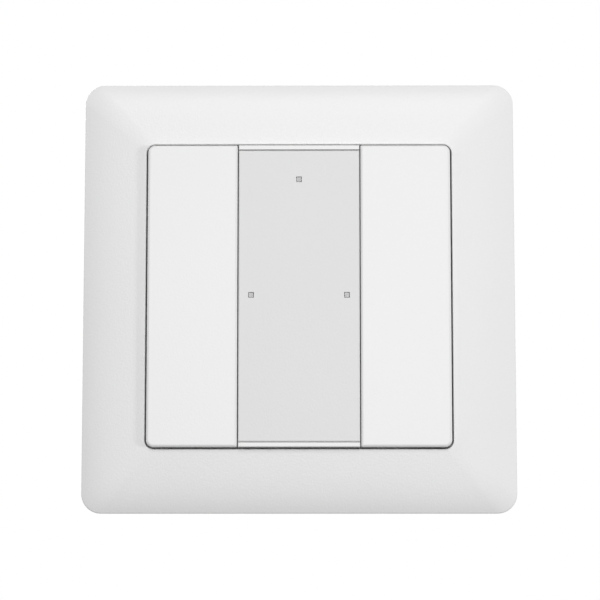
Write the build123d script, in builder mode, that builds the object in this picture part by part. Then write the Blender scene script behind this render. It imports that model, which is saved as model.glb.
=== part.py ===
from build123d import *
import os
from math import copysign, cos, radians, sin, sqrt, tan

os.makedirs("parts", exist_ok=True)

# A square wall push button: two rocker keys beside a fixed label bar, in a crowned cover frame.
# The front looks to -Y, +X is right and +Z up. The origin is on the wall, in the middle of the frame.
# A level is a distance in front of the wall. Behind the wall it is negative.
# Lengths are in millimetres and angles in degrees.

# Cover frame
frame_side = 86.0
frame_corner = 3.9
frame_wall = 2.0
frame_edge = 0.3
skirt_inset = 0.3
crown_slope = 6.0
rim_slope = 28.0
roll_power = 4
crown_steps = 10
lip_edge = 0.2
ledge_thickness = 1.0
ledge_reach = 1.8
frame_rib = 1.2
frame_rib_count = 3
frame_rib_spacing = 22.0
frame_rib_start = 2.6

# Key field
key_field = 60.15
field_corner = 1.4
key_gap = 0.375
bar_gap = 0.2
bar_width = 24.0
key_proud = 1.2

# Support ring and the screws of the wall box
ring_side = 71.0
ring_corner = 4.0
ring_thickness = 1.0
screw_pitch = 60.0
slot_width = 3.8
slot_length = 6.4
screw_head_width = 7.2
screw_head_height = 2.5

# Rocker keys
tilt = 1.5
key_wall = 1.6
key_skirt = 1.2
key_edge = 0.5
key_inner_corner = 0.3
key_rib = 0.9
key_rib_depth = 0.9
key_rib_count = 6
key_rib_spacing = 9.0
foot_length = 2.1
foot_radius = 1.1
foot_edge = 0.18
pivot_pin_radius = 0.8
lug_radius = 1.3
lug_thickness = 1.5
lug_offset = 1.95

# Key carrier
plate_thickness = 1.3
ear_thickness = 1.6
ear_radius = 1.6
ear_mouth = 1.3
hook_arm = 1.2
hook_width = 3.6
hook_barb = 0.6
hook_nose = 1.7
carrier_hook_z = 9.0
bar_hook_inset = 5.9
post_radius = 2.2
post_height = 1.5

# Switches and status lights
switch_offset = 20.0
switch_side = 6.0
switch_floor = 0.4
switch_lid = 0.5
switch_corner = 0.5
stem_radius = 1.6
stem_flange = 0.4
stem_flange_thickness = 0.5
stem_edge = 0.1
stem_reserve = 0.25
indicator_inset = 2.5
indicator_drop = 6.9
led_length = 1.6
led_width = 0.8
led_height = 0.6
led_edge = 0.15
guide_body = 1.8
guide_tip = 0.9
guide_sink = 0.12

# Label bar
end_strip = 0.87
cover_end_gap = 0.15
cover_sink = 0.1
cover_thickness = 1.2
cover_edge = 0.2
cover_border = 0.8
label_thickness = 0.25
bed_thickness = 1.2
bar_wall = 1.2
strip_edge = 0.2
window_side = 1.1

# Circuit boards and their connector
board_thickness = 1.2
board_behind = 0.6
board_before = 0.8
bus_board_thickness = 1.6
bus_standoff = 6.4
header_x = 0.0
header_z = 8.0
header_pins_count = 6
header_pitch = 2.54
header_height = 2.5
header_pin_side = 0.64
header_engagement = 3.5
socket_height = 8.5
processor_side = 7.0
processor_height = 1.0
processor_edge = 0.2
processor_z = -8.0

# Rear housing, its screws and the bus connection
housing_side = 46.0
housing_cut = 9.0
housing_depth = 23.0
housing_wall = 1.6
housing_back = 1.8
housing_edge = 0.8
housing_upright_edge = 0.6
boss_radius = 3.0
rest_width = 6.0
rest_depth = 2.4
screw_seat_depth = 4.0
screw_head_radius = 1.9
screw_head_thickness = 1.4
screw_head_edge = 0.45
screw_radius = 0.95
screw_bite = 3.0
screw_recess_length = 2.2
screw_recess_width = 0.6
screw_recess_depth = 0.8
terminal_z = -9.0
terminal_pole_width = 5.7
terminal_height = 10.5
terminal_depth = 8.0
terminal_pole_pitch = 5.8
terminal_edge = 0.4
wire_hole_radius = 0.6
wire_hole_depth = 5.0
wire_hole_spacing_x = 2.6
wire_hole_spacing_z = 4.4
pocket_wall = 1.2
pocket_floor = 1.4
bus_pin_radius = 0.5
bus_pin_reach = 5.0
solder_height = 0.8
programming_x = 6.0
programming_z = 12.0
button_proud = 0.4
light_radius = 1.5
light_flange = 0.4
light_flange_thickness = 0.8

# Clearances
seat_clearance = 0.3
slide_clearance = 0.05
pivot_clearance = 0.03
window_clearance = 0.25
hook_clearance = 0.15
catch_clearance = 0.05
foot_clearance = 0.06
stop_clearance = 0.2
lug_clearance = 0.2
ear_clearance = 0.2
ledge_clearance = 0.4
post_clearance = 0.5
housing_clearance = 0.5
thread_clearance = 0.03

# Levels, from the ring forwards to the faces of the keys
board_back = ring_thickness + board_behind
board_front = board_back + board_thickness
plate_back = board_front + board_before
plate_front = plate_back + plate_thickness
stem_travel = switch_offset * sin(radians(tilt))
switch_room = stem_flange_thickness + 2 * (stem_travel + slide_clearance)
switch_height = switch_floor + switch_room + switch_lid
switch_front = board_front + switch_height
stem_top = switch_front + stem_travel + stem_reserve
key_under = stem_top + foot_clearance + foot_length
face = key_under + key_wall
lip_level = face - key_proud
key_drop = key_field / 2 * sin(radians(tilt))
skirt_back = plate_front + key_drop + stop_clearance
pivot_level = plate_front + lug_clearance + lug_radius
post_top = plate_front + post_height

# Levels of the label bar
cover_front = face - cover_sink
bed_front = cover_front - cover_thickness
bed_back = bed_front - bed_thickness
led_front = board_front + led_height
guide_back = led_front + seat_clearance
guide_front = cover_front - guide_sink

# Levels behind the wall
bus_back = bus_standoff - (housing_depth - housing_back)
bus_front = bus_back + bus_board_thickness
pocket_front = bus_back - seat_clearance
pocket_back = pocket_front - pocket_floor
socket_front = bus_front + socket_height

# Widths and places that follow
opening_side = key_field + 2 * key_gap
opening_corner = field_corner + key_gap
band_width = (frame_side - opening_side) / 2
ledge_opening = opening_side - 2 * ledge_reach
key_width = (key_field - bar_width) / 2 - bar_gap
key_centre = bar_width / 2 + bar_gap + key_width / 2
cover_length = key_field - 2 * (end_strip + cover_end_gap)
board_side = ledge_opening - 2 * ledge_clearance
carrier_side = key_field
ring_opening = housing_side + 2 * housing_clearance
housing_inner = housing_side - 2 * housing_wall
inner_cut = housing_cut - housing_wall * (2 - sqrt(2))
bus_board_side = housing_inner - 2 * seat_clearance
ear_offset = lug_offset + lug_thickness / 2 + ear_clearance + ear_thickness / 2
pin_length = ear_clearance + ear_thickness
hook_window_width = hook_arm + hook_barb + 2 * hook_clearance
hook_window_height = hook_width + 2 * hook_clearance
carrier_window_x = (ring_opening + hook_window_width) / 2
carrier_hook_x = carrier_window_x + hook_barb / 2
bar_hook_x = bar_width / 2 - hook_clearance - hook_arm / 2
bar_window_x = bar_hook_x - hook_barb / 2
bar_hook_z = key_field / 2 - bar_hook_inset
post_x = bar_width / 2 + bar_gap + key_skirt + post_clearance + post_radius
post_z = switch_offset - switch_side / 2 - window_clearance - post_clearance - post_radius
guide_hole = guide_body + 2 * window_clearance
indicator_side_x = bar_width / 2 - indicator_inset
indicator_top_z = key_field / 2 - indicator_drop
indicators = {
    "top": (0, indicator_top_z),
    "left": (-indicator_side_x, 0),
    "right": (indicator_side_x, 0),
}
switches = {
    "left_upper": (-key_centre, switch_offset),
    "left_lower": (-key_centre, -switch_offset),
    "right_upper": (key_centre, switch_offset),
    "right_lower": (key_centre, -switch_offset),
}


def level(distance):
    """The plane parallel to the wall at this distance in front of it."""
    return Plane.XZ.offset(distance)


def rear_facing(x, z, distance):
    """A plane at this level whose normal points back, into the wall box."""
    return Plane(origin=(x, -distance, z), x_dir=(-1, 0, 0), z_dir=(0, 1, 0))


def cut_corner_square(side, cut, mode=Mode.ADD):
    """A square with its corners cut off at 45 degrees, in the sketch that is open."""
    half = side / 2
    near = half - cut
    corners = [(near, half), (half, near), (half, -near), (near, -half)]
    Polygon(*corners, *[(-x, -z) for x, z in corners], align=None, mode=mode)


def screw_head_notches(mode=Mode.SUBTRACT):
    """Room round the heads of the four wall box screws, in the sketch that is open."""
    with PolarLocations(screw_pitch / 2, 4):
        Rectangle(screw_head_width, screw_head_width, mode=mode)


def snap_hook(start_x, end_x, middle_z, root, catch):
    """An arm from the root level back to the catch level, with a barb on its end_x side."""
    barb_x = end_x + copysign(hook_barb, end_x - start_x)
    tip = hook_nose - catch
    with BuildPart() as hook:
        with BuildSketch(Plane.XY.offset(middle_z - hook_width / 2)):
            with BuildLine():
                Polyline(
                    (start_x, -root),
                    (end_x, -root),
                    (end_x, -catch),
                    (barb_x, -catch),
                    (end_x, tip),
                    (start_x, tip),
                    close=True,
                )
            make_face()
        extrude(amount=hook_width)
    return hook.part


def switch_housing(seat):
    """A push switch on its seat plane: a square body with a stepped room for the stem's flange."""
    with BuildPart() as body:
        with BuildSketch(seat):
            RectangleRounded(switch_side, switch_side, switch_corner)
        extrude(amount=switch_height)
        with BuildSketch(seat.offset(switch_floor)):
            Circle(stem_radius + stem_flange + slide_clearance)
        extrude(amount=switch_room, mode=Mode.SUBTRACT)
        with BuildSketch(seat.offset(switch_height)):
            Circle(stem_radius + slide_clearance)
        extrude(amount=-switch_lid, mode=Mode.SUBTRACT)
    return body


def switch_plunger(seat, flange_height, top_height):
    """The stem of a push switch, with the flange that keeps it in the body."""
    with BuildPart() as stem:
        with BuildSketch(seat.offset(flange_height)):
            Circle(stem_radius + stem_flange)
        extrude(amount=stem_flange_thickness)
        with BuildSketch(seat.offset(flange_height)):
            Circle(stem_radius)
        extrude(amount=top_height - flange_height)
        chamfer(stem.faces().sort_by(Axis(seat.origin, seat.z_dir))[-1].edges(), stem_edge)
    return stem


def crown_rise(inset):
    """Height of the front over the rim: an even fall from the lip, and a roll that steepens to the rim."""
    fall = tan(radians(crown_slope))
    roll = (tan(radians(rim_slope)) - fall) * band_width / (roll_power + 1)
    return fall * inset + roll * (1 - (1 - inset / band_width) ** (roll_power + 1))


rim_level = lip_level - crown_rise(band_width)


def crowned_block(sink):
    """The space under the front: rounded squares, from the skirt over the rim up to the lip."""
    skirt = [(skirt_inset, sink - rim_level), (0, 0)]
    insets = [band_width * step / crown_steps for step in range(crown_steps + 1)]
    crown = [(inset, crown_rise(inset)) for inset in insets]
    with BuildPart() as block:
        for course in (skirt, crown):
            for inset, rise in course:
                side = frame_side - 2 * inset
                corner = frame_corner + (opening_corner - frame_corner) * inset / band_width
                with BuildSketch(level(rim_level - sink + rise)):
                    RectangleRounded(side, side, corner)
            loft(ruled=course is skirt)
    return block.part


# Support ring: punched steel, screwed to the wall box through the slots
with BuildPart() as support_ring:
    with BuildSketch(level(0)):
        RectangleRounded(ring_side, ring_side, ring_corner)
        cut_corner_square(ring_opening, housing_cut, mode=Mode.SUBTRACT)
        with PolarLocations(screw_pitch / 2, 4):
            SlotOverall(slot_length, slot_width, mode=Mode.SUBTRACT)
        with GridLocations(2 * carrier_window_x, 2 * carrier_hook_z, 2, 2):
            Rectangle(hook_window_width, hook_window_height, mode=Mode.SUBTRACT)
    extrude(amount=ring_thickness)
support_ring.part.label = "support_ring"
export_step(support_ring.part, "parts/support_ring.step")

# Cover frame: the hollow under the front, crossed by ribs from the collar to the skirt
with BuildPart() as frame_hollow:
    with BuildSketch(level(0)) as hollow_outline:
        RectangleRounded(frame_side - 2 * frame_wall, frame_side - 2 * frame_wall, frame_corner - frame_wall)
        Rectangle(opening_side + 2 * frame_wall, opening_side + 2 * frame_wall, mode=Mode.SUBTRACT)
    with BuildSketch(level(0)):
        add(hollow_outline.sketch_local)
        with PolarLocations(frame_side / 2, 4):
            with GridLocations(0, frame_rib_spacing, 1, frame_rib_count):
                Rectangle(frame_side - opening_side, frame_rib, mode=Mode.SUBTRACT)
    extrude(amount=lip_level)
    add(crowned_block(frame_wall), mode=Mode.INTERSECT)
    with BuildSketch(level(0)):
        add(hollow_outline.sketch_local)
    extrude(amount=frame_rib_start)

# Cover frame: crowned front, skirt to the wall, collar on the ring and ledge under the carrier
with BuildPart() as cover_frame:
    add(crowned_block(0))
    rear = cover_frame.faces().sort_by(Axis.Y)[-1]
    side_walls = cover_frame.faces().filter_by(lambda wall: len(wall.edges() & rear.edges()) > 0)
    rim_edges = side_walls.edges().group_by(Axis.Y)[0]
    fillet(rim_edges, frame_edge)
    add(frame_hollow.part, mode=Mode.SUBTRACT)
    with BuildSketch(level(plate_back)):
        RectangleRounded(opening_side, opening_side, opening_corner)
    extrude(amount=lip_level, mode=Mode.SUBTRACT)
    with BuildSketch(level(0)):
        RectangleRounded(ledge_opening, ledge_opening, opening_corner)
    extrude(amount=plate_back, mode=Mode.SUBTRACT)
    with BuildSketch(level(0)):
        RectangleRounded(opening_side, opening_side, opening_corner)
    extrude(amount=plate_back - ledge_thickness, mode=Mode.SUBTRACT)
    with BuildSketch(level(0)):
        RectangleRounded(ring_side + 2 * seat_clearance, ring_side + 2 * seat_clearance, ring_corner)
    extrude(amount=ring_thickness, mode=Mode.SUBTRACT)
    with BuildSketch(level(ring_thickness)):
        screw_head_notches(mode=Mode.ADD)
    extrude(amount=screw_head_height, mode=Mode.SUBTRACT)
    lip = opening_side / 2
    lip_edges = cover_frame.edges().filter_by(
        lambda edge: max(abs(edge.center().X), abs(edge.center().Z)) < lip + lip_edge
        and edge.center().Y < -plate_front
    ).filter_by(Axis.Y, reverse=True)
    fillet(lip_edges, lip_edge)
cover_frame.part.label = "cover_frame"
export_step(cover_frame.part, "parts/cover_frame.step")

# Key carrier: a plate with bearing ears and screw posts in front and snap hooks behind
with BuildPart() as key_carrier:
    with BuildSketch(level(plate_back)):
        RectangleRounded(carrier_side, carrier_side, field_corner)
        with Locations(*switches.values()):
            switch_window = switch_side + 2 * window_clearance
            Rectangle(switch_window, switch_window, mode=Mode.SUBTRACT)
        with Locations(*indicators.values()):
            Rectangle(guide_hole, guide_hole, mode=Mode.SUBTRACT)
        with GridLocations(2 * bar_window_x, 2 * bar_hook_z, 2, 2):
            Rectangle(hook_window_width, hook_window_height, mode=Mode.SUBTRACT)
    extrude(amount=plate_thickness)
    with BuildSketch(level(board_front)):
        with GridLocations(2 * post_x, 2 * post_z, 2, 2):
            Circle(post_radius)
    extrude(amount=post_top - board_front)
    with BuildSketch(level(board_front)):
        with GridLocations(2 * post_x, 2 * post_z, 2, 2):
            Circle(screw_radius + thread_clearance)
    extrude(amount=screw_bite + seat_clearance, mode=Mode.SUBTRACT)
    for key_side in (-1, 1):
        for ear_side in (-1, 1):
            ear_x = key_side * key_centre + ear_side * ear_offset
            with BuildSketch(Plane.YZ.offset(ear_x - ear_thickness / 2)):
                with Locations((-pivot_level, 0)):
                    Circle(ear_radius)
                with Locations((-(pivot_level + plate_front) / 2, 0)):
                    Rectangle(pivot_level - plate_front, 2 * ear_radius)
                with Locations((-pivot_level, 0)):
                    Circle(pivot_pin_radius + pivot_clearance, mode=Mode.SUBTRACT)
                with Locations((-pivot_level - ear_radius / 2, 0)):
                    Rectangle(ear_radius, ear_mouth, mode=Mode.SUBTRACT)
            extrude(amount=ear_thickness)
        for hook_z in (-carrier_hook_z, carrier_hook_z):
            inner_x = key_side * (carrier_hook_x - hook_arm / 2)
            outer_x = key_side * (carrier_hook_x + hook_arm / 2)
            add(snap_hook(inner_x, outer_x, hook_z, plate_back, -catch_clearance))
key_carrier.part.label = "key_carrier"
export_step(key_carrier.part, "parts/key_carrier.step")

# Right rocker: a key shell with ribs, two feet over the switch stems and pins in the bearing ears
with BuildPart() as right_rocker:
    with BuildSketch(level(skirt_back)) as key_outline:
        with Locations((key_centre, 0)):
            Rectangle(key_width, key_field)
        fillet(key_outline.vertices().group_by(Axis.X)[-1], field_corner)
        fillet(key_outline.vertices().group_by(Axis.X)[0], key_inner_corner)
    extrude(amount=face - skirt_back)
    fillet(right_rocker.faces().sort_by(Axis.Y)[0].edges(), key_edge)
    with BuildSketch(level(skirt_back)):
        with Locations((key_centre, 0)):
            Rectangle(key_width - 2 * key_skirt, key_field - 2 * key_skirt)
    extrude(amount=key_under - skirt_back, mode=Mode.SUBTRACT)
    with BuildSketch(level(key_under)):
        with Locations((key_centre, 0)):
            with GridLocations(0, key_rib_spacing, 1, key_rib_count):
                Rectangle(key_width - key_skirt, key_rib)
            with GridLocations(2 * lug_offset, 0, 2, 1):
                Rectangle(key_rib, key_field - key_skirt)
    extrude(amount=-key_rib_depth)
    with BuildSketch(level(key_under)):
        with Locations((key_centre, switch_offset), (key_centre, -switch_offset)):
            Circle(foot_radius)
    extrude(amount=-foot_length)
    feet = right_rocker.faces().filter_by_position(Axis.Y, -stem_top - 2 * foot_clearance, -stem_top)
    chamfer(feet.edges(), foot_edge)
    for lug_side in (-1, 1):
        lug_x = key_centre + lug_side * lug_offset
        with BuildSketch(Plane.YZ.offset(lug_x - lug_thickness / 2)):
            with Locations((-pivot_level, 0)):
                Circle(lug_radius)
            with Locations((-(pivot_level + key_under) / 2, 0)):
                Rectangle(key_under - pivot_level, 2 * lug_radius)
        extrude(amount=lug_thickness)
        with BuildSketch(Plane.YZ.offset(lug_x + lug_side * lug_thickness / 2)):
            with Locations((-pivot_level, 0)):
                Circle(pivot_pin_radius)
        extrude(amount=lug_side * pin_length)
right_rocker.part.label = "right_rocker"
export_step(right_rocker.part, "parts/right_rocker.step")

# Left rocker: the mirror image
with BuildPart() as left_rocker:
    add(mirror(right_rocker.part, about=Plane.YZ, mode=Mode.PRIVATE))
left_rocker.part.label = "left_rocker"
export_step(left_rocker.part, "parts/left_rocker.step")

# Centre bar: fixed between the keys, with a bed for the label and a strip at each end
with BuildPart() as centre_bar:
    with BuildSketch(level(plate_front)):
        Rectangle(bar_width, key_field)
    extrude(amount=face - plate_front)
    fillet(centre_bar.faces().sort_by(Axis.Y)[0].edges(), strip_edge)
    with BuildSketch(level(bed_front)):
        Rectangle(bar_width + 2 * bar_gap, key_field - 2 * end_strip)
    extrude(amount=face - bed_front, mode=Mode.SUBTRACT)
    with BuildSketch(level(plate_front)):
        Rectangle(bar_width - 2 * bar_wall, key_field - 2 * bar_wall)
    extrude(amount=bed_back - plate_front, mode=Mode.SUBTRACT)
    with BuildSketch(level(bed_back)):
        with Locations(*indicators.values()):
            Rectangle(window_side, window_side)
    extrude(amount=bed_thickness, mode=Mode.SUBTRACT)
    for bar_side in (-1, 1):
        for hook_z in (-bar_hook_z, bar_hook_z):
            inner_x = bar_side * (bar_hook_x - hook_arm / 2)
            outer_x = bar_side * (bar_hook_x + hook_arm / 2)
            add(snap_hook(inner_x, outer_x, hook_z, plate_front, plate_back - catch_clearance))
centre_bar.part.label = "centre_bar"
export_step(centre_bar.part, "parts/centre_bar.step")

# Label cover: a clear cap over the bed, hollow behind for the label, with three windows
with BuildPart() as label_cover:
    with BuildSketch(level(bed_front)):
        Rectangle(bar_width, cover_length)
    extrude(amount=cover_thickness)
    chamfer(label_cover.faces().sort_by(Axis.Y)[0].edges(), cover_edge)
    with BuildSketch(level(bed_front)):
        Rectangle(bar_width - 2 * cover_border, cover_length - 2 * cover_border)
    extrude(amount=label_thickness + slide_clearance, mode=Mode.SUBTRACT)
    with BuildSketch(level(bed_front)):
        with Locations(*indicators.values()):
            Rectangle(window_side, window_side)
    extrude(amount=cover_thickness, mode=Mode.SUBTRACT)
label_cover.part.label = "label_cover"
export_step(label_cover.part, "parts/label_cover.step")

# Label sheet: a blank card under the cover
with BuildPart() as label_sheet:
    with BuildSketch(level(bed_front)):
        label_border = cover_border + slide_clearance
        Rectangle(bar_width - 2 * label_border, cover_length - 2 * label_border)
        with Locations(*indicators.values()):
            Rectangle(window_side, window_side, mode=Mode.SUBTRACT)
    extrude(amount=label_thickness)
label_sheet.part.label = "label_sheet"
export_step(label_sheet.part, "parts/label_sheet.step")

# Status lights: a light source on the board and a clear guide up to its window
for place, (light_x, light_z) in indicators.items():
    with BuildPart() as status_led:
        with BuildSketch(level(board_front)):
            with Locations((light_x, light_z)):
                Rectangle(led_length, led_width)
        extrude(amount=led_height)
        chamfer(status_led.faces().sort_by(Axis.Y)[0].edges(), led_edge)
    status_led.part.label = f"status_led_{place}"
    export_step(status_led.part, f"parts/status_led_{place}.step")

    with BuildPart() as light_guide:
        with BuildSketch(level(guide_back)):
            with Locations((light_x, light_z)):
                Rectangle(guide_body, guide_body)
        extrude(amount=bed_back - guide_back)
        with BuildSketch(level(bed_back)):
            with Locations((light_x, light_z)):
                Rectangle(guide_tip, guide_tip)
        extrude(amount=guide_front - bed_back)
    light_guide.part.label = f"light_guide_{place}"
    export_step(light_guide.part, f"parts/light_guide_{place}.step")

# Switches: at rest each stem is half-way down its stroke, so that it follows its key both ways
for place, (switch_x, switch_z) in switches.items():
    switch_seat = Plane(origin=(switch_x, -board_front, switch_z), x_dir=(1, 0, 0), z_dir=(0, -1, 0))
    switch_body = switch_housing(switch_seat)
    switch_body.part.label = f"switch_body_{place}"
    export_step(switch_body.part, f"parts/switch_body_{place}.step")

    flange_height = switch_floor + (switch_room - stem_flange_thickness) / 2
    switch_stem = switch_plunger(switch_seat, flange_height, stem_top - board_front)
    switch_stem.part.label = f"switch_stem_{place}"
    export_step(switch_stem.part, f"parts/switch_stem_{place}.step")

# Main board: clamped between the rear housing and the posts of the carrier
with BuildPart() as main_board:
    with BuildSketch(level(board_back)):
        RectangleRounded(board_side, board_side, field_corner)
        screw_head_notches()
        with GridLocations(2 * carrier_window_x, 2 * carrier_hook_z, 2, 2):
            Rectangle(hook_window_width, hook_window_height, mode=Mode.SUBTRACT)
        with GridLocations(2 * bar_hook_x, 2 * bar_hook_z, 2, 2):
            Rectangle(hook_window_width + hook_barb, hook_window_height, mode=Mode.SUBTRACT)
        with GridLocations(2 * post_x, 2 * post_z, 2, 2):
            Circle(screw_radius + seat_clearance, mode=Mode.SUBTRACT)
    extrude(amount=board_thickness)
main_board.part.label = "main_board"
export_step(main_board.part, "parts/main_board.step")

# Processor: a square chip on the back of the main board
with BuildPart() as processor:
    with BuildSketch(level(board_back)):
        with Locations((header_x, processor_z)):
            Rectangle(processor_side, processor_side)
    extrude(amount=-processor_height)
    chamfer(processor.faces().sort_by(Axis.Y)[-1].edges(), processor_edge)
processor.part.label = "processor"
export_step(processor.part, "parts/processor.step")

# Board connector: a header under the main board, its pins, and a socket on the bus board
with BuildPart() as board_header:
    with BuildSketch(level(board_back)):
        with Locations((header_x, header_z)):
            Rectangle(header_pins_count * header_pitch, header_pitch)
            with GridLocations(header_pitch, 0, header_pins_count, 1):
                pin_hole = header_pin_side + 2 * thread_clearance
                Rectangle(pin_hole, pin_hole, mode=Mode.SUBTRACT)
    extrude(amount=-header_height)
board_header.part.label = "board_header"
export_step(board_header.part, "parts/board_header.step")

with BuildPart() as header_pins:
    with BuildSketch(level(board_back)):
        with Locations((header_x, header_z)):
            with GridLocations(header_pitch, 0, header_pins_count, 1):
                Rectangle(header_pin_side, header_pin_side)
    extrude(amount=socket_front - header_engagement - board_back)
header_pins.part.label = "header_pins"
export_step(header_pins.part, "parts/header_pins.step")

with BuildPart() as board_socket:
    with BuildSketch(level(bus_front)):
        with Locations((header_x, header_z)):
            Rectangle(header_pins_count * header_pitch, header_pitch)
    extrude(amount=socket_height)
    with BuildSketch(level(socket_front)):
        with Locations((header_x, header_z)):
            with GridLocations(header_pitch, 0, header_pins_count, 1):
                socket_hole = header_pin_side + 2 * slide_clearance
                Rectangle(socket_hole, socket_hole)
    extrude(amount=-header_engagement - seat_clearance, mode=Mode.SUBTRACT)
board_socket.part.label = "board_socket"
export_step(board_socket.part, "parts/board_socket.step")

# Bus board: on the rests of the rear housing, with holes for its screw bosses and the bus pins
with BuildPart() as bus_board:
    with BuildSketch(level(bus_back)):
        cut_corner_square(bus_board_side, inner_cut)
        with GridLocations(2 * post_x, 2 * post_z, 2, 2):
            Circle(boss_radius + seat_clearance, mode=Mode.SUBTRACT)
        with Locations((0, terminal_z)):
            with GridLocations(terminal_pole_pitch, 0, 2, 1):
                Circle(bus_pin_radius + slide_clearance, mode=Mode.SUBTRACT)
    extrude(amount=bus_board_thickness)
bus_board.part.label = "bus_board"
export_step(bus_board.part, "parts/bus_board.step")

# Rear housing: an open box with cut corners, screw bosses, board rests and a pocket for the terminal
pocket_width = terminal_pole_pitch + terminal_pole_width + 2 * seat_clearance
pocket_height = terminal_height + 2 * seat_clearance
with BuildPart() as rear_housing:
    with BuildSketch(level(board_back)):
        cut_corner_square(housing_side, housing_cut)
    extrude(amount=-board_back - housing_depth)
    fillet(rear_housing.edges().filter_by(Axis.Y), housing_upright_edge)
    fillet(rear_housing.faces().sort_by(Axis.Y)[-1].edges(), housing_edge)
    with BuildSketch(level(board_back)):
        cut_corner_square(housing_inner, inner_cut)
    extrude(amount=housing_back - housing_depth - board_back, mode=Mode.SUBTRACT)
    with BuildSketch(level(housing_back - housing_depth)):
        with GridLocations(2 * post_x, 2 * post_z, 2, 2):
            Circle(boss_radius)
    extrude(amount=board_back + housing_depth - housing_back)
    with BuildSketch(level(housing_back - housing_depth)):
        with PolarLocations((housing_inner - rest_depth) / 2, 4):
            Rectangle(rest_depth, rest_width)
    extrude(amount=bus_standoff)
    with BuildSketch(level(housing_back - housing_depth)):
        with Locations((0, terminal_z)):
            Rectangle(pocket_width + 2 * pocket_wall, pocket_height + 2 * pocket_wall)
    extrude(amount=pocket_front + housing_depth - housing_back)
    with BuildSketch(level(-housing_depth)):
        with Locations((0, terminal_z)):
            Rectangle(pocket_width, pocket_height)
    extrude(amount=pocket_back + housing_depth, mode=Mode.SUBTRACT)
    with BuildSketch(level(pocket_back)):
        with Locations((0, terminal_z)):
            with GridLocations(terminal_pole_pitch, 0, 2, 1):
                Circle(bus_pin_radius + seat_clearance)
    extrude(amount=pocket_floor, mode=Mode.SUBTRACT)
    with BuildSketch(level(-housing_depth)):
        with Locations((-programming_x, programming_z)):
            Circle(stem_radius + seat_clearance)
        with Locations((programming_x, programming_z)):
            Circle(light_radius + seat_clearance)
    extrude(amount=housing_back, mode=Mode.SUBTRACT)
    with Locations(rear_facing(0, 0, -housing_depth)):
        with GridLocations(2 * post_x, 2 * post_z, 2, 2):
            CounterBoreHole(
                radius=screw_radius + seat_clearance,
                counter_bore_radius=screw_head_radius + seat_clearance,
                counter_bore_depth=housing_depth - screw_seat_depth,
                depth=housing_depth + board_back,
            )
rear_housing.part.label = "rear_housing"
export_step(rear_housing.part, "parts/rear_housing.step")

# Housing screws: four alike, from the back through the housing and the board into the carrier's posts
with BuildPart() as housing_screws:
    with BuildSketch(level(-screw_seat_depth)):
        with GridLocations(2 * post_x, 2 * post_z, 2, 2):
            Circle(screw_head_radius)
    extrude(amount=-screw_head_thickness)
    head_backs = housing_screws.faces().group_by(Axis.Y)[-1]
    chamfer(head_backs.edges(), screw_head_edge)
    with BuildSketch(level(-screw_seat_depth)):
        with GridLocations(2 * post_x, 2 * post_z, 2, 2):
            Circle(screw_radius)
    extrude(amount=screw_seat_depth + board_front + screw_bite)
    with BuildSketch(level(-screw_seat_depth - screw_head_thickness)):
        with GridLocations(2 * post_x, 2 * post_z, 2, 2):
            Rectangle(screw_recess_length, screw_recess_width)
            Rectangle(screw_recess_width, screw_recess_length)
    extrude(amount=screw_recess_depth, mode=Mode.SUBTRACT)
housing_screws.part.label = "housing_screws"
export_step(housing_screws.part, "parts/housing_screws.step")

# Bus pins: two round contacts from the bus board into the terminal
with BuildPart() as bus_pins:
    with BuildSketch(level(bus_front + solder_height)):
        with Locations((0, terminal_z)):
            with GridLocations(terminal_pole_pitch, 0, 2, 1):
                Circle(bus_pin_radius)
    extrude(amount=pocket_back - bus_pin_reach - bus_front - solder_height)
bus_pins.part.label = "bus_pins"
export_step(bus_pins.part, "parts/bus_pins.step")

# Bus terminal: one half for each pole, pushed onto its pin, with four wire holes at the back
for pole, pole_side in (("red", -1), ("grey", 1)):
    pole_x = pole_side * terminal_pole_pitch / 2
    with BuildPart() as bus_terminal:
        with BuildSketch(level(pocket_back)):
            with Locations((pole_x, terminal_z)):
                Rectangle(terminal_pole_width, terminal_height)
        extrude(amount=-terminal_depth)
        chamfer(bus_terminal.faces().sort_by(Axis.Y)[-1].edges(), terminal_edge)
        with BuildSketch(level(pocket_back)):
            with Locations((pole_x, terminal_z)):
                Circle(bus_pin_radius + slide_clearance)
        extrude(amount=-bus_pin_reach - slide_clearance, mode=Mode.SUBTRACT)
        with Locations(rear_facing(pole_x, terminal_z, pocket_back - terminal_depth)):
            with GridLocations(wire_hole_spacing_x, wire_hole_spacing_z, 2, 2):
                Hole(wire_hole_radius, depth=wire_hole_depth)
    bus_terminal.part.label = f"bus_terminal_{pole}"
    export_step(bus_terminal.part, f"parts/bus_terminal_{pole}.step")

# Programming button: a push switch on the back of the bus board, with a long stem through the housing
programming_seat = rear_facing(-programming_x, programming_z, bus_back)
programming_switch = switch_housing(programming_seat)
programming_switch.part.label = "programming_switch"
export_step(programming_switch.part, "parts/programming_switch.step")

button_flange = switch_floor + switch_room - stem_flange_thickness - slide_clearance
programming_button = switch_plunger(programming_seat, button_flange, bus_back + housing_depth + button_proud)
programming_button.part.label = "programming_button"
export_step(programming_button.part, "parts/programming_button.step")

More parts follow.
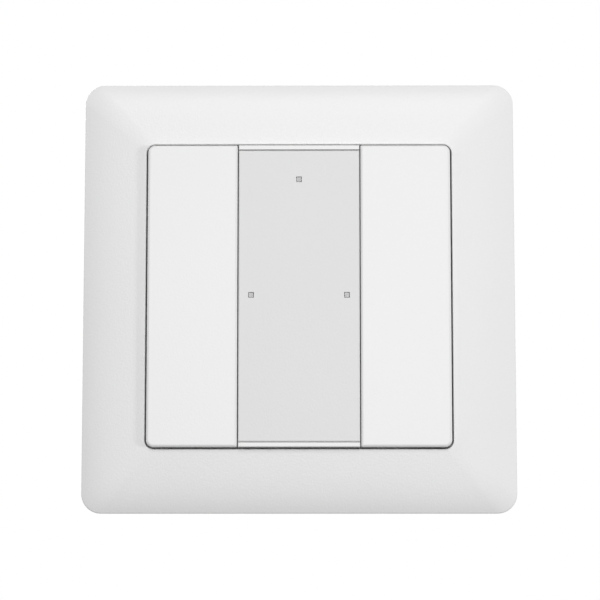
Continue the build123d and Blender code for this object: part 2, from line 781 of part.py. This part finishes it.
# Programming light: a round lamp with a domed tip in its hole in the housing
with BuildPart() as programming_led:
    light_tip = bus_back + housing_depth
    with BuildSketch(Plane.XY.offset(programming_z)):
        with BuildLine():
            flange_edge = programming_x + light_radius + light_flange
            shoulder = light_tip - light_radius
            Polyline(
                (programming_x, -bus_back),
                (flange_edge, -bus_back),
                (flange_edge, light_flange_thickness - bus_back),
                (programming_x + light_radius, light_flange_thickness - bus_back),
                (programming_x + light_radius, shoulder - bus_back),
            )
            CenterArc((programming_x, shoulder - bus_back), light_radius, 0, 90)
            Line((programming_x, light_tip - bus_back), (programming_x, -bus_back))
        make_face()
    revolve(axis=Axis((programming_x, 0, programming_z), (0, 1, 0)))
programming_led.part.label = "programming_led"
export_step(programming_led.part, "parts/programming_led.step")
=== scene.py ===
from math import copysign, cos, radians, sin

import bmesh
import bpy
from mathutils import Matrix, Vector


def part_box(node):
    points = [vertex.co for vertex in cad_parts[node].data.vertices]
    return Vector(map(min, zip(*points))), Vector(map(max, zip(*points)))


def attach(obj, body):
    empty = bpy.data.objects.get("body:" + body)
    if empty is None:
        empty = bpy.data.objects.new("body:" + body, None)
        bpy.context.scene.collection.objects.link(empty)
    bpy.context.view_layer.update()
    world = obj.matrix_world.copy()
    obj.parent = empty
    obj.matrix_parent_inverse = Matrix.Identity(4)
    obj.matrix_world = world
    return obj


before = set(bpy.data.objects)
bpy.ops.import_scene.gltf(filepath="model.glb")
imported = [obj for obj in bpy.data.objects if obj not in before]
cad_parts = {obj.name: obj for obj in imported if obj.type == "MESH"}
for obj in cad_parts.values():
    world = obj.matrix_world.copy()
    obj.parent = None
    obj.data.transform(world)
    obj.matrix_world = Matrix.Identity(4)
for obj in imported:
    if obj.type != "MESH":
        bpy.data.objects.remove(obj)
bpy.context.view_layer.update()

# Support ring: the square plate that is screwed to the wall box, and that holds the rest of the unit.
# It is punched from zinc-plated steel sheet, which keeps the fine streaks of the rolling mill.


def new_finish(name):
    """An empty finish: the material, its nodes, its links and its shader."""
    material = bpy.data.materials.new(name)
    material.use_nodes = True
    tree = material.node_tree
    return material, tree.nodes, tree.links, tree.nodes["Principled BSDF"]


def noise_on(nodes, links, size, stretch=(1, 1, 1), detail=2.0):
    """Noise whose patches have this size in metres, on the coordinates of the piece."""
    place = nodes.new("ShaderNodeTexCoord")
    fit = nodes.new("ShaderNodeMapping")
    fit.inputs["Scale"].default_value = stretch
    noise = nodes.new("ShaderNodeTexNoise")
    noise.inputs["Scale"].default_value = 1 / size
    noise.inputs["Detail"].default_value = detail
    links.new(place.outputs["Object"], fit.inputs["Vector"])
    links.new(fit.outputs["Vector"], noise.inputs["Vector"])
    return noise.outputs["Fac"]


def tint(nodes, links, pattern, dark, light, target):
    """Feeds a colour between dark and light, chosen by a pattern, to a socket."""
    mix = nodes.new("ShaderNodeMix")
    mix.data_type = "RGBA"
    mix.inputs["A"].default_value = (*dark, 1)
    mix.inputs["B"].default_value = (*light, 1)
    links.new(pattern, mix.inputs["Factor"])
    links.new(mix.outputs["Result"], target)


def spread(nodes, links, pattern, low, high, target):
    """Feeds a number between low and high, chosen by a pattern, to a socket."""
    reach = nodes.new("ShaderNodeMapRange")
    reach.inputs["To Min"].default_value = low
    reach.inputs["To Max"].default_value = high
    links.new(pattern, reach.inputs["Value"])
    links.new(reach.outputs["Result"], target)


def relief(nodes, links, pattern, depth, target):
    """Raises the surface by a pattern of this depth in metres."""
    bump = nodes.new("ShaderNodeBump")
    bump.inputs["Distance"].default_value = depth
    links.new(pattern, bump.inputs["Height"])
    links.new(bump.outputs["Normal"], target)


def plated_steel(name, colour, streak_width):
    """Zinc-plated steel: a cloudy grey metal with streaks up and down."""
    cloud_size = 0.006
    cloud_shade = 0.8
    streak_stretch = (1, 1, 0.04)
    streak_depth = 0.000004
    smooth = 0.26
    dull = 0.48
    material, nodes, links, shader = new_finish(name)
    shader.inputs["Metallic"].default_value = 1
    clouds = noise_on(nodes, links, cloud_size, detail=4)
    dark = [cloud_shade * part for part in colour]
    tint(nodes, links, clouds, dark, colour, shader.inputs["Base Color"])
    streaks = noise_on(nodes, links, streak_width, stretch=streak_stretch, detail=3)
    spread(nodes, links, streaks, smooth, dull, shader.inputs["Roughness"])
    relief(nodes, links, streaks, streak_depth, shader.inputs["Normal"])
    return material


def dress(finish, *names):
    """Gives the named solids their finish."""
    for name in names:
        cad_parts[name].material_slots[0].material = finish


zinc_steel = plated_steel("zinc_steel", (0.62, 0.63, 0.65), streak_width=0.0006)
dress(zinc_steel, "support_ring")

# Rear housing: the box that goes into the wall box, moulded in dark grey plastic with an eroded grain.
# Four plated steel screws from behind draw it, the main board and the key carrier together.


def moulded_plastic(name, colour, roughness, grain, depth, cloud=0.015):
    """Moulded plastic: a colour with faint clouds, and the fine grain of the mould's face."""
    cloud_size = 0.02
    roughness_swing = 0.04
    material, nodes, links, shader = new_finish(name)
    clouds = noise_on(nodes, links, cloud_size, detail=3)
    dark = [part * (1 - cloud) for part in colour]
    light = [part * (1 + cloud) for part in colour]
    tint(nodes, links, clouds, dark, light, shader.inputs["Base Color"])
    smooth = roughness - roughness_swing
    dull = roughness + roughness_swing
    spread(nodes, links, clouds, smooth, dull, shader.inputs["Roughness"])
    relief(nodes, links, noise_on(nodes, links, grain), depth, shader.inputs["Normal"])
    return material


housing_grey = moulded_plastic(
    "housing_grey", (0.1, 0.105, 0.11), roughness=0.52, grain=0.00035, depth=0.00001, cloud=0.05
)
screw_steel = plated_steel("screw_steel", (0.56, 0.57, 0.59), streak_width=0.0003)
dress(housing_grey, "rear_housing")
dress(screw_steel, "housing_screws")

# Moulded marks: a plus and a minus over the two poles of the terminal, and an arrow that points up.
# They are cut into the housing's mould, so they stand a little proud of its back in the same plastic.
mark_reach = 0.0011
mark_stroke = 0.0005
mark_height = 0.0002
mark_edge = 0.00008
mark_edge_steps = 2
mark_sharp_angle = radians(60)
mark_distance = 0.0024
arrow_radius = 1.3 * mark_reach
arrow_drop = 0.0035
housing_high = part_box("rear_housing")[1]


def pole_place(terminal):
    """Where the mark of a pole stands: over the middle of its half of the terminal."""
    low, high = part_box(terminal)
    return (low[0] + high[0]) / 2, high[2] + mark_distance


def raised_mark(name, outline, place):
    """Gives a flat outline its height and soft edges, and sets it on the back of the housing."""
    raised = bmesh.ops.extrude_face_region(outline, geom=outline.faces[:])
    top = {item for item in raised["geom"] if isinstance(item, bmesh.types.BMVert)}
    bmesh.ops.translate(outline, verts=list(top), vec=(0, 0, mark_height))
    bmesh.ops.recalc_face_normals(outline, faces=outline.faces[:])
    rim = [
        edge for edge in outline.edges
        if edge.calc_face_angle(0) > mark_sharp_angle and set(edge.verts) <= top
    ]
    bmesh.ops.bevel(
        outline, geom=rim, offset=mark_edge, offset_type="OFFSET", affect="EDGES",
        segments=mark_edge_steps, profile=0.5, material=-1,
    )
    facing_back = Matrix(((-1, 0, 0), (0, 0, 1), (0, 1, 0))).to_4x4()
    on_housing = Matrix.Translation((place[0], housing_high[1], place[1]))
    bmesh.ops.transform(outline, matrix=on_housing @ facing_back, verts=outline.verts[:])
    mesh = bpy.data.meshes.new(name)
    outline.to_mesh(mesh)
    outline.free()
    mesh.materials.append(housing_grey)
    mark = bpy.data.objects.new(name, mesh)
    bpy.context.scene.collection.objects.link(mark)
    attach(mark, "wall_unit")


def arm_line(part):
    """Moves an inner line of the plus's grid to the edge of its stroke."""
    if abs(part) < mark_reach / 2:
        return copysign(mark_stroke / 2, part)
    return part


plus = bmesh.new()
bmesh.ops.create_grid(plus, x_segments=3, y_segments=3, size=mark_reach)
for corner in plus.verts:
    corner.co = (arm_line(corner.co.x), arm_line(corner.co.y), 0)
between_arms = [
    face for face in plus.faces
    if min(abs(part) for part in face.calc_center_median()[:2]) > mark_stroke / 2
]
bmesh.ops.delete(plus, geom=between_arms, context="FACES")
raised_mark("plus_mark", plus, pole_place("bus_terminal_red"))
minus = bmesh.new()
bmesh.ops.create_grid(minus, x_segments=1, y_segments=1, size=mark_reach)
bmesh.ops.scale(minus, vec=(1, mark_stroke / (2 * mark_reach), 1), verts=minus.verts[:])
raised_mark("minus_mark", minus, pole_place("bus_terminal_grey"))
arrow = bmesh.new()
bmesh.ops.create_circle(arrow, cap_ends=True, segments=3, radius=arrow_radius)
raised_mark("up_mark", arrow, (0, housing_high[2] - arrow_drop))

# Circuit boards: glass fibre board under green lacquer, with copper tracks that show paler through it.
# The bus board lies on rests in the housing, and the main board is clamped in front of it.


def lacquered_board(name, lacquer, track, track_length, track_pitch, track_gap):
    """Green lacquer over rows of copper tracks: the tracks show paler and stand up a little."""
    track_height = 0.00003
    track_blur = 0.2
    gloss_patch = 0.004
    smooth = 0.22
    dull = 0.34
    material, nodes, links, shader = new_finish(name)
    place = nodes.new("ShaderNodeTexCoord")
    face_on = nodes.new("ShaderNodeMapping")
    face_on.inputs["Rotation"].default_value = (radians(90), 0, 0)
    rows = nodes.new("ShaderNodeTexBrick")
    rows.inputs["Scale"].default_value = 1
    rows.inputs["Brick Width"].default_value = track_length
    rows.inputs["Row Height"].default_value = track_pitch
    rows.inputs["Mortar Size"].default_value = track_gap
    rows.inputs["Mortar Smooth"].default_value = track_blur
    links.new(place.outputs["Object"], face_on.inputs["Vector"])
    links.new(face_on.outputs["Vector"], rows.inputs["Vector"])
    tint(nodes, links, rows.outputs["Fac"], track, lacquer, shader.inputs["Base Color"])
    spread(nodes, links, noise_on(nodes, links, gloss_patch), smooth, dull, shader.inputs["Roughness"])
    relief(nodes, links, rows.outputs["Fac"], -track_height, shader.inputs["Normal"])
    return material


board_green = lacquered_board(
    "board_green", lacquer=(0.012, 0.11, 0.045), track=(0.035, 0.22, 0.09),
    track_length=0.0083, track_pitch=0.0011, track_gap=0.00028,
)
dress(board_green, "bus_board", "main_board")

# Contacts: round bus pins and square header pins, drawn from brass and left bright.
# The bus pins reach back into the terminal, and the header pins join the two boards.


def drawn_brass(name, stained, bright):
    """Bright brass with darker stains and fine draw marks along the pin."""
    stain_size = 0.001
    draw_mark_width = 0.0002
    along_pin = (1, 0.05, 1)
    smooth = 0.18
    dull = 0.34
    material, nodes, links, shader = new_finish(name)
    shader.inputs["Metallic"].default_value = 1
    tint(nodes, links, noise_on(nodes, links, stain_size), stained, bright, shader.inputs["Base Color"])
    marks = noise_on(nodes, links, draw_mark_width, stretch=along_pin)
    spread(nodes, links, marks, smooth, dull, shader.inputs["Roughness"])
    return material


contact_brass = drawn_brass("contact_brass", stained=(0.62, 0.43, 0.17), bright=(0.8, 0.6, 0.28))
dress(contact_brass, "bus_pins", "header_pins")

# Bus terminal: two plastic halves, one for each pole, pushed onto the bus pins from behind.
# Both are moulded smooth, in red and in dark grey.
terminal_red = moulded_plastic(
    "terminal_red", (0.4, 0.018, 0.016), roughness=0.34, grain=0.0003, depth=0.000004, cloud=0.06
)
terminal_grey = moulded_plastic(
    "terminal_grey", (0.05, 0.051, 0.055), roughness=0.36, grain=0.0003, depth=0.000004, cloud=0.06
)
dress(terminal_red, "bus_terminal_red")
dress(terminal_grey, "bus_terminal_grey")

# Parts on the boards: the chip, the two halves of the connector and the bodies of the push switches.
# All are black moulded plastic, and the chip is the dullest.
switch_places = ("left_upper", "left_lower", "right_upper", "right_lower")
chip_black = moulded_plastic(
    "chip_black", (0.028, 0.028, 0.03), roughness=0.6, grain=0.0002, depth=0.000008, cloud=0.08
)
connector_black = moulded_plastic(
    "connector_black", (0.02, 0.02, 0.021), roughness=0.42, grain=0.0003, depth=0.000004, cloud=0.06
)
switch_black = moulded_plastic(
    "switch_black", (0.03, 0.03, 0.032), roughness=0.45, grain=0.0003, depth=0.000005, cloud=0.06
)
dress(chip_black, "processor")
dress(connector_black, "board_header", "board_socket")
dress(switch_black, "programming_switch", *[f"switch_body_{place}" for place in switch_places])

# Switch stems and the programming button: small plungers moulded in cream and in red plastic.
# Each slides in its push switch, and the button reaches out through the back of the housing.
stem_white = moulded_plastic(
    "stem_white", (0.74, 0.73, 0.69), roughness=0.36, grain=0.0003, depth=0.000003
)
button_red = moulded_plastic(
    "button_red", (0.45, 0.026, 0.02), roughness=0.36, grain=0.0003, depth=0.000003, cloud=0.05
)
dress(stem_white, *[f"switch_stem_{place}" for place in switch_places])
dress(button_red, "programming_button")

# Small lamps: a red one with a domed lens at the back, and three white ones on the main board.
# Their bodies are cast from resin, so that light goes a little way in.


def cast_resin(name, colour, clarity, roughness):
    """Cast resin: a tinted body that passes part of the light, with faint flow clouds."""
    flow_size = 0.0015
    flow_shade = 0.9
    gloss_patch = 0.0008
    dulling = 1.6
    material, nodes, links, shader = new_finish(name)
    shader.inputs["Transmission Weight"].default_value = clarity
    shader.inputs["IOR"].default_value = 1.5
    dark = [flow_shade * part for part in colour]
    tint(nodes, links, noise_on(nodes, links, flow_size), dark, colour, shader.inputs["Base Color"])
    patches = noise_on(nodes, links, gloss_patch)
    spread(nodes, links, patches, roughness, dulling * roughness, shader.inputs["Roughness"])
    return material


light_places = ("top", "left", "right")
led_red = cast_resin("led_red", (0.55, 0.03, 0.022), clarity=0.35, roughness=0.1)
led_white = cast_resin("led_white", (0.82, 0.79, 0.66), clarity=0.1, roughness=0.25)
dress(led_red, "programming_led")
dress(led_white, *[f"status_led_{place}" for place in light_places])

# Key carrier: the plate that carries the keys and the label bar, and snaps into the ring.
# It is moulded in pale grey plastic with a dull face, in one piece with its ears, posts and hooks.
carrier_grey = moulded_plastic(
    "carrier_grey", (0.74, 0.745, 0.75), roughness=0.5, grain=0.0004, depth=0.000006, cloud=0.03
)
dress(carrier_grey, "key_carrier")

# Light guides: rods of clear plastic from the small lamps to the windows of the label cover.
# They stand in holes of the carrier, and are a little milky at the tip.
guide_clear = cast_resin("guide_clear", (0.58, 0.58, 0.58), clarity=0.15, roughness=0.2)
dress(guide_clear, *[f"light_guide_{place}" for place in light_places])

# Label bar: fixed between the keys, moulded in the same white as they are, with a smooth face.
# A blank card lies in its bed under a snap-on cover of frosted plastic, which looks pale grey.
key_white = moulded_plastic(
    "key_white", (0.875, 0.875, 0.875), roughness=0.3, grain=0.0004, depth=0.000016
)
label_card = moulded_plastic(
    "label_card", (0.8, 0.8, 0.79), roughness=0.75, grain=0.0002, depth=0.000006
)
cover_clear = moulded_plastic(
    "cover_clear", (0.755, 0.755, 0.755), roughness=0.33, grain=0.0004, depth=0.000024
)
dress(key_white, "centre_bar")
dress(label_card, "label_sheet")
dress(cover_clear, "label_cover")

# Rocker keys: two shells with a smooth satin face, moulded in the same white plastic as the bar.
# Their pins sit in the ears of the carrier, and their feet stand over the switch stems.
dress(key_white, "left_rocker", "right_rocker")

# Cover frame: the crowned square frame round the keys, moulded in white plastic.
# Its face has the fine, dull grain of an eroded mould, so that it is less glossy than the keys.
frame_white = moulded_plastic(
    "frame_white", (0.89, 0.89, 0.89), roughness=0.36, grain=0.0004, depth=0.000032
)
dress(frame_white, "cover_frame")

# Floor: a pale board under the object, which takes the object's shadow.
# Away from the object it fades into the white surround, and it throws no light back on the object.
floor_level = -0.075
floor_half = 0.55
floor_fade_start = 0.1
floor_fade_end = 0.5
floor_glow = 0.4
floor_shape = bmesh.new()
bmesh.ops.create_grid(
    floor_shape, x_segments=1, y_segments=1, size=floor_half, matrix=Matrix.Translation((0, 0, floor_level))
)
floor_mesh = bpy.data.meshes.new("floor")
floor_shape.to_mesh(floor_mesh)
floor_shape.free()
floor = bpy.data.objects.new("floor", floor_mesh)
bpy.context.scene.collection.objects.link(floor)
floor_pale, nodes, links, shader = new_finish("floor_pale")
shader.inputs["Base Color"].default_value = (0.9, 0.9, 0.9, 1)
shader.inputs["Roughness"].default_value = 0.9
place = nodes.new("ShaderNodeTexCoord")
far = nodes.new("ShaderNodeVectorMath")
far.operation = "LENGTH"
fade = nodes.new("ShaderNodeMapRange")
fade.interpolation_type = "SMOOTHSTEP"
fade.inputs["From Min"].default_value = floor_fade_start
fade.inputs["From Max"].default_value = floor_fade_end
fade.inputs["To Min"].default_value = floor_glow
white_out = nodes.new("ShaderNodeEmission")
white_out.inputs["Color"].default_value = (1, 1, 1, 1)
blend = nodes.new("ShaderNodeMixShader")
links.new(place.outputs["Object"], far.inputs[0])
links.new(far.outputs["Value"], fade.inputs["Value"])
links.new(fade.outputs["Result"], blend.inputs["Fac"])
links.new(shader.outputs["BSDF"], blend.inputs[1])
links.new(white_out.outputs["Emission"], blend.inputs[2])
links.new(blend.outputs["Shader"], nodes["Material Output"].inputs["Surface"])
floor_pale.cycles.emission_sampling = "NONE"
floor_mesh.materials.append(floor_pale)
floor.visible_diffuse = False

# Studio lamps: square softboxes in front, high in front, at the left and behind the object.
# A small board at the right bounces some light back, and leaves no bright spot on the glossy plastic.
lamp_aim = Vector((0, 0, 0))


def soft_lamp(name, place, size, power):
    """A square softbox that shines on the middle of the object and isn't seen itself."""
    lamp = bpy.data.lights.new(name, "AREA")
    lamp.shape = "SQUARE"
    lamp.size = size
    lamp.energy = power
    stand = bpy.data.objects.new(name, lamp)
    stand.location = place
    stand.rotation_euler = (lamp_aim - Vector(place)).to_track_quat("-Z", "Y").to_euler()
    stand.visible_camera = False
    bpy.context.scene.collection.objects.link(stand)
    return stand


soft_lamp("front_lamp", place=(0.0, -0.897, 0.078), size=0.35, power=1.8)
soft_lamp("high_lamp", place=(0.0, -0.737, 0.516), size=0.35, power=1.97)
soft_lamp("left_lamp", place=(-0.6, -0.3, 0.3), size=0.3, power=0.6)
soft_lamp("rear_lamp", place=(-0.4, 0.7, 0.45), size=0.5, power=4.0)
bounce_board = soft_lamp("bounce_board", place=(0.432, -0.249, -0.035), size=0.07, power=0.66)
bounce_board.visible_glossy = False

# Surround: pure white where the camera, a reflection or a clear piece shows it.
# On the object itself it is only a weak fill light, from all sides.
fill_level = 0.265
seen_level = 1.0
surround = bpy.data.worlds.new("surround")
surround.use_nodes = True
bpy.context.scene.world = surround
nodes, links = surround.node_tree.nodes, surround.node_tree.links
nodes.clear()
path = nodes.new("ShaderNodeLightPath")
seen = nodes.new("ShaderNodeMath")
seen.operation = "MAXIMUM"
mirrored = nodes.new("ShaderNodeMath")
mirrored.operation = "MAXIMUM"
links.new(path.outputs["Is Camera Ray"], seen.inputs[0])
links.new(path.outputs["Is Glossy Ray"], mirrored.inputs[0])
links.new(path.outputs["Is Transmission Ray"], mirrored.inputs[1])
links.new(mirrored.outputs[0], seen.inputs[1])
strength = nodes.new("ShaderNodeMapRange")
strength.inputs["To Min"].default_value = fill_level
strength.inputs["To Max"].default_value = seen_level
links.new(seen.outputs[0], strength.inputs["Value"])
white = nodes.new("ShaderNodeBackground")
white.inputs["Color"].default_value = (1, 1, 1, 1)
links.new(strength.outputs["Result"], white.inputs["Strength"])
output = nodes.new("ShaderNodeOutputWorld")
links.new(white.outputs["Background"], output.inputs["Surface"])

# Camera: in front of the object and a little below its middle, as in the photograph.
# The side and the height are the angles from which it looks at its aim.
camera_aim = Vector((0.00016, -0.004, -0.00031))
camera_distance = 0.46
camera_side = radians(0.3)
camera_height = radians(-7.18)
camera_lens = 137.84
camera_back = Vector((
    sin(camera_side) * cos(camera_height),
    -cos(camera_side) * cos(camera_height),
    sin(camera_height),
))
lens = bpy.data.cameras.new("camera")
lens.lens = camera_lens
lens.sensor_width = 36
lens.clip_start = 0.01
camera = bpy.data.objects.new("camera", lens)
camera.location = camera_aim + camera_back * camera_distance
camera.rotation_euler = (-camera_back).to_track_quat("-Z", "Y").to_euler()
bpy.context.scene.collection.objects.link(camera)
bpy.context.scene.camera = camera
bpy.context.scene.view_settings.view_transform = "Standard"
